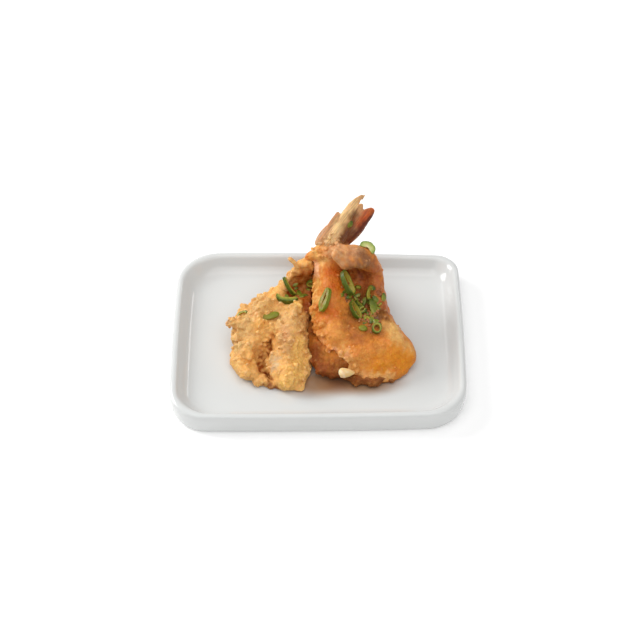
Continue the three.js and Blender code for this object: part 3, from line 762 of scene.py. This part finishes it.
# A bit of garlic lies on the crust under the right shrimp's edge. It is raw at heart,
# glossy with oil, round at its left end, and tapers off to the right.
garlic = fine_skin("garlic_bit", "garlic_piece", 0.25, 4)
shift(garlic, (-1.2, 0, 1.2), 40, [(13, -31, 12)])
shift(garlic, (0.3, -0.9, 0.6), 2.4, [(12, -31, 12.5)])
garlic = fuse(garlic, 0.2)
finish_with(garlic, "SMOOTH", factor=0.5, iterations=10)
mark_relief(garlic, broad=(10, 0.6), fine=(4, 0.3))
paint(garlic, (234, 196, 134), [((244, 226, 188), 2.4, [(11, -31, 13), (12, -31, 13)])])
garlic.data.materials.append(fried_crust("oiled_garlic", crease_shade=(0.95, 0.85, 0.7), peak=(0.98, 0.88, 0.62),
                                         roughness=0.3, coat=0.3, mottle=0.03, crumbly=0, depth=0.0001))
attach(garlic, "root")
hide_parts("garlic_bit")


# Spring onion is cut across into rings, and falls apart into part rings and slips. The leaf
# has a dark green skin, a paler, wet flesh and a smooth inside. Each bit lies on the crust
# straight below its place, pressed into it a little.

# The leaf's usual wall, the widest one as a share of a ring's width, and the rounding of its
# edges. Then how deep the bits sink in, how far round a place the crust is felt, and a height
# over the whole heap.
LEAF_WALL = 1.1
WIDEST_WALL = 0.48
LEAF_ROUNDING = 0.2
ONION_SINK = 0.5
TOUCH_REACH = 1.6
OVERHEAD = 200

# A row gives a bit's place, its turn on the crust, how far it is tipped over, its length,
# width and height, and the arc that is left of its ring. A slip has no arc. A row may also
# give the thickness of its wall, how much deeper it sinks in, or a lighter leaf.
ONIONS = [
    dict(at=(25.2, 25.5), turn=-20, tip=55, size=(8.5, 7, 2.6), arc=(-30, 200), wall=3.3, sink=3.4,
         leaf="pale"),
    dict(at=(16.4, 37.3), turn=60, tip=0, size=(4, 2.6, 1.2)),
    dict(at=(-15.4, 18.2), turn=122, tip=40, size=(11.5, 3.4, 2.2), arc=(0, 200), wall=1.3),
    dict(at=(-16, 11.5), turn=-18, tip=5, size=(12.5, 7, 3.2), arc=(165, 355), wall=2),
    dict(at=(-3.9, 20.6), turn=0, tip=25, size=(4.8, 3.8, 2), arc=(0, 360)),
    dict(at=(-8.7, 13.9), turn=20, tip=0, size=(4.2, 2, 1.2)),
    dict(at=(-39.5, 3.4), turn=10, tip=10, size=(6.2, 3.8, 1.4), arc=(10, 190)),
    dict(at=(-25.2, 0.6), turn=15, tip=8, size=(10, 3.9, 1.4), leaf="bright"),
    dict(at=(3.9, 3.5), turn=68, tip=-15, size=(13, 5, 2), arc=(0, 360), wall=2, leaf="bright"),
    dict(at=(14.3, 13), turn=120, tip=10, size=(13.5, 6.4, 2.6), arc=(0, 360)),
    dict(at=(18.4, 2), turn=118, tip=15, size=(11, 6, 2.2), arc=(0, 360)),
    dict(at=(27.9, 11.5), turn=70, tip=-20, size=(7.6, 5, 2), arc=(-60, 200)),
    dict(at=(29, 3.7), turn=105, tip=20, size=(12, 4.6, 1.6)),
    dict(at=(33.6, 9.5), turn=60, tip=10, size=(5.4, 3.4, 1.4)),
    dict(at=(23.4, 3.6), turn=30, tip=20, size=(5, 3.8, 1.8), arc=(40, 320)),
    dict(at=(23, -9.3), turn=0, tip=0, size=(4.4, 3.6, 1.6), leaf="bright"),
    dict(at=(30.2, -10), turn=80, tip=20, size=(6, 5.2, 2.4), arc=(0, 360)),
]


def tree_of(piece):
    corners = [piece.matrix_world @ vertex.co for vertex in piece.data.vertices]
    return BVHTree.FromPolygons(corners, [tuple(face.vertices) for face in piece.data.polygons])


def first_below(trees, x, y):
    """What lies uppermost at a place seen from above: its point and the way it faces."""
    start, down = Vector((x, y, OVERHEAD / 1000)), Vector((0, 0, -1))
    hits = [tree.ray_cast(start, down) for tree in trees]
    return max((hit for hit in hits if hit[0]), key=lambda hit: hit[0].z)


def resting_place(at, reach=TOUCH_REACH):
    """The crust straight below a place, in metres, and the way that the solids face there."""
    x, y = (c / 1000 for c in at)
    step = reach / 1000
    around = [(x, y), (x + step, y), (x - step, y), (x, y + step), (x, y - step)]
    facing = sum((first_below(solids, *spot)[1] for spot in around), Vector())
    height = sum(first_below(crusts, *spot)[0].z for spot in around) / len(around)
    return Vector((x, y, height)), facing.normalized()


def ring_slice(size, arc, wall=LEAF_WALL):
    """A slice of a ring of leaf, oval, with only an arc of it left."""
    length, width, height, wall = (s / 1000 for s in (*size, wall))
    bpy.ops.object.select_all(action="DESELECT")
    bpy.ops.mesh.primitive_cylinder_add(vertices=48, radius=1, depth=1, end_fill_type="NOTHING",
                                        location=(0, 0, 0))
    piece = bpy.context.object
    bpy.ops.object.mode_set(mode="EDIT")
    bpy.ops.mesh.select_mode(type="FACE")
    bpy.ops.mesh.select_all(action="DESELECT")
    bpy.ops.object.mode_set(mode="OBJECT")
    for face in piece.data.polygons:
        angle = math.degrees(math.atan2(face.center.y, face.center.x))
        face.select = (angle - arc[0]) % 360 > arc[1] - arc[0]
    bpy.ops.object.mode_set(mode="EDIT")
    bpy.ops.mesh.delete(type="FACE")
    bpy.ops.object.mode_set(mode="OBJECT")
    piece.scale = (length / 2, width / 2, height)
    bpy.ops.object.transform_apply(location=False, rotation=False, scale=True)
    wall = min(wall, width * WIDEST_WALL)
    finish_with(piece, "SOLIDIFY", thickness=wall, offset=-1, use_even_offset=True)
    bpy.ops.object.mode_set(mode="EDIT")
    bpy.ops.mesh.select_all(action="SELECT")
    bpy.ops.mesh.normals_make_consistent(inside=False)
    bpy.ops.object.mode_set(mode="OBJECT")
    finish_with(piece, "BEVEL", width=LEAF_ROUNDING / 1000, segments=2, limit_method="ANGLE")
    finish_with(piece, "SUBSURF", levels=1, render_levels=1)

    # How deep each point lies under the leaf's outer skin, as a share of its wall.
    x, y, _ = read_points(piece, "co").T
    level = np.hypot(2 * x / length, 2 * y / width)
    slope = np.hypot(4 * x / length ** 2, 4 * y / width ** 2) / np.maximum(level, 1e-6)
    mark_flesh(piece, (1 - level) / slope / wall)
    return piece


def slip(size):
    """A flat slip of leaf, skin at one end and pale at the other."""
    length, width, height = (s / 1000 for s in size)
    bpy.ops.object.select_all(action="DESELECT")
    bpy.ops.mesh.primitive_uv_sphere_add(segments=40, ring_count=24, radius=0.5, location=(0, 0, 0))
    piece = bpy.context.object
    piece.scale = (length, width, height)
    bpy.ops.object.transform_apply(location=False, rotation=False, scale=True)
    x, y, _ = read_points(piece, "co").T
    from_tip = np.clip(0.5 - x / length, 0, 1)
    off_middle = np.abs(y) / width - 0.25
    mark_flesh(piece, 0.02 + 0.7 * from_tip + 0.4 * off_middle)
    return piece


def mark_flesh(piece, share):
    """0 on the green skin of the leaf, 1 at its pale inside."""
    mark(piece, "flesh", np.clip(share, 0, 1))


def lay_on_crust(piece, at, turn, tip, size, sink):
    """Lays a bit of onion down at its place, turned on the slope, tipped over and sunk in."""
    spot, facing = resting_place(at)
    angle, tilt = math.radians(turn), math.radians(tip)
    along = Vector((math.cos(angle), math.sin(angle) * math.cos(SLOPE), math.sin(angle) * math.sin(SLOPE)))
    side = facing.cross(along).normalized()
    axis = side.cross(facing)
    lift = (size[2] + abs(math.sin(tilt)) * size[1]) / 2
    spot += facing * (lift - ONION_SINK - sink) / 1000
    turned = Matrix((axis, side, facing)).transposed().to_4x4()
    piece.matrix_world = Matrix.Translation(spot) @ turned @ Matrix.Rotation(tilt, 4, "X")
    take_up(piece)
    bpy.ops.object.transform_apply(location=True, rotation=True, scale=True)


def onion_leaf(name, skin_tone, flesh_tone, inside_tone):
    """Wet leaf with faint streaks, from its skin through its flesh to its inside."""
    leaf, tree, wet = new_finish(name)
    place = new_node(tree, "ShaderNodeTexCoord").outputs["Object"]
    flesh = new_node(tree, "ShaderNodeAttribute", attribute_name="flesh").outputs["Fac"]
    streaks = new_node(tree, "ShaderNodeTexNoise", Scale=700, Detail=3, Vector=place).outputs["Fac"]
    streaked = worked_out("MULTIPLY_ADD", streaks, 0.5, flesh)
    ramp = new_node(tree, "ShaderNodeValToRGB", Fac=worked_out("ADD", streaked, -0.25))
    ramp.color_ramp.elements[0].color = (*linear(*skin_tone), 1)
    ramp.color_ramp.elements[1].color = (*linear(*inside_tone), 1)
    middle = ramp.color_ramp.elements.new(0.4)
    middle.color = (*linear(*flesh_tone), 1)
    bump = new_node(tree, "ShaderNodeBump", Strength=0.4, Distance=0.0002, Height=streaks)
    set_sockets(wet, Base_Color=ramp.outputs["Color"], Normal=bump.outputs["Normal"], Roughness=0.42,
                Subsurface_Weight=0.3, Subsurface_Radius=(0.4, 1, 0.2), Subsurface_Scale=0.001,
                Specular_IOR_Level=0.4)
    return leaf


solids = [tree_of(frame["nodes"][node])
          for node in ("shrimp_left", "shrimp_right", "shrimp_under", "tail_fan", "plate")]
crusts = [tree_of(piece) for piece in (left, right, under, tail, plate)]
leaves = {
    "dark": onion_leaf("dark_leaf", (74, 90, 12), (122, 128, 32), (172, 158, 60)),
    "bright": onion_leaf("bright_leaf", (118, 126, 18), (134, 132, 30), (144, 112, 32)),
    "pale": onion_leaf("pale_leaf", (112, 136, 50), (176, 186, 100), (220, 214, 156)),
}
for number, row in enumerate(ONIONS, start=1):
    if "arc" in row:
        piece = ring_slice(row["size"], row["arc"], row.get("wall", LEAF_WALL))
    else:
        piece = slip(row["size"])
    piece.name = f"spring_onion_{number:02d}"
    push_out(piece, "CLOUDS", 6, 1.2, seed=number)
    push_out(piece, "CLOUDS", 2, 0.3, seed=number)
    lay_on_crust(piece, row["at"], row["turn"], row["tip"], row["size"], row.get("sink", 0))
    bpy.ops.object.shade_smooth()
    piece.data.materials.append(leaves[row.get("leaf", "dark")])
    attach(piece, "root")
    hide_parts(f"onion_{number:02d}")


# Fine bits have dropped in the hollow of the right shrimp and in the left one's: flecks of
# spring onion, pale minced garlic and browned batter, pressed into the oily crust.

# The two hollows seen from above, the clump in the first one, and the heights that the bits
# keep to.
HOLLOW = [(18, 12), (22, 10), (27, 9), (21, 5), (25, 3), (29, 2), (24, -3), (28, -6), (31, 8), (15, 8)]
CLUMP = [(24, 1), (22, 4), (26, -4)]
LEFT_HOLLOW = [(-14, 14), (-9, 16), (-6, 19), (-12, 18)]
HOLLOW_FOOT = 18
HOLLOW_TOP = 37
BIT_REACH = 0.5
MOST_ROLL = 0.5


def strew(name, models, draw, count, spots, spread, sizes):
    """Copies of some bits on the crust, strewn round spots seen from above, sizes by scale."""
    batch = []
    while len(batch) < count:
        x, y = draw.choice(spots)
        place, facing = resting_place((x + draw.gauss(0, spread), y + draw.gauss(0, spread)), BIT_REACH)
        if not HOLLOW_FOOT < place.z * 1000 < HOLLOW_TOP:
            continue
        take_up(draw.choice(models))
        bpy.ops.object.duplicate()
        copy = bpy.context.object
        spin = Matrix.Rotation(draw.uniform(0, math.tau), 4, "Z")
        roll = Matrix.Rotation(draw.uniform(-MOST_ROLL, MOST_ROLL), 4, "X")
        tilt = facing.to_track_quat("Z", "Y").to_matrix().to_4x4()
        scale = Matrix.Scale(draw.uniform(*sizes), 4)
        copy.matrix_world = Matrix.Translation(place) @ tilt @ spin @ roll @ scale
        batch.append(copy)
    bpy.ops.object.select_all(action="DESELECT")
    for model in models:
        model.select_set(True)
    bpy.ops.object.delete()
    join_parts(batch[0], batch)
    bpy.ops.object.transform_apply(location=True, rotation=True, scale=True)
    piece = bpy.context.object
    piece.name = name
    bpy.ops.object.shade_smooth()
    return piece


def uneven_bit(length, width, height):
    """A bit of garlic or batter for the others to be copied from."""
    bpy.ops.object.select_all(action="DESELECT")
    bpy.ops.mesh.primitive_ico_sphere_add(subdivisions=3, radius=0.5, location=(0, 0, 0))
    bit = bpy.context.object
    bit.scale = (length / 1000, width / 1000, height / 1000)
    bpy.ops.object.transform_apply(location=False, rotation=False, scale=True)
    push_out(bit, "CLOUDS", 0.7, 0.5)
    return bit


leaf_bits = [ring_slice((4.6, 3.6, 2), (20, 140), 1.6), slip((5, 2.4, 0.9)), slip((3.2, 1.8, 0.8))]
flecks = strew("onion_flecks", leaf_bits, draw, count=50, spots=CLUMP + HOLLOW + LEFT_HOLLOW,
               spread=1.8, sizes=(0.7, 1.3))
flecks.data.materials.append(leaves["dark"])
garlic_bits = [uneven_bit(1.7, 1.2, 1), uneven_bit(1, 0.9, 0.8)]
minced = strew("minced_garlic", garlic_bits, draw, count=14, spots=HOLLOW, spread=2.2, sizes=(0.7, 1.2))
batter_bits = [uneven_bit(2.6, 1.6, 1.2), uneven_bit(1.6, 1.2, 1)]
browned = strew("browned_bits", batter_bits, draw, count=60, spots=HOLLOW, spread=2.4, sizes=(0.8, 1.4))
for piece in (minced, browned):
    mark_relief(piece, broad=(4, 0.6), fine=(2, 0.3))
paint(minced, (196, 140, 92), [((171, 114, 62), 4, [(22, 8, 27), (27, 0, 26)])])
paint(browned, (150, 86, 44), [((165, 102, 52), 5, [(28, -4, 25), (30, 6, 27)])])
minced.data.materials.append(fried_crust("fried_garlic", crease_shade=(0.9, 0.75, 0.5), peak=(0.9, 0.7, 0.45),
                                         roughness=0.35, coat=0.3))
browned.data.materials.append(fried_crust("browned_batter", crease_shade=(0.8, 0.6, 0.4), peak=(0.5, 0.28, 0.12),
                                          roughness=0.4, coat=0.3))
for piece, slot in ((flecks, "spring_onion"), (minced, "garlic"), (browned, "crust_right")):
    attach(piece, "root")
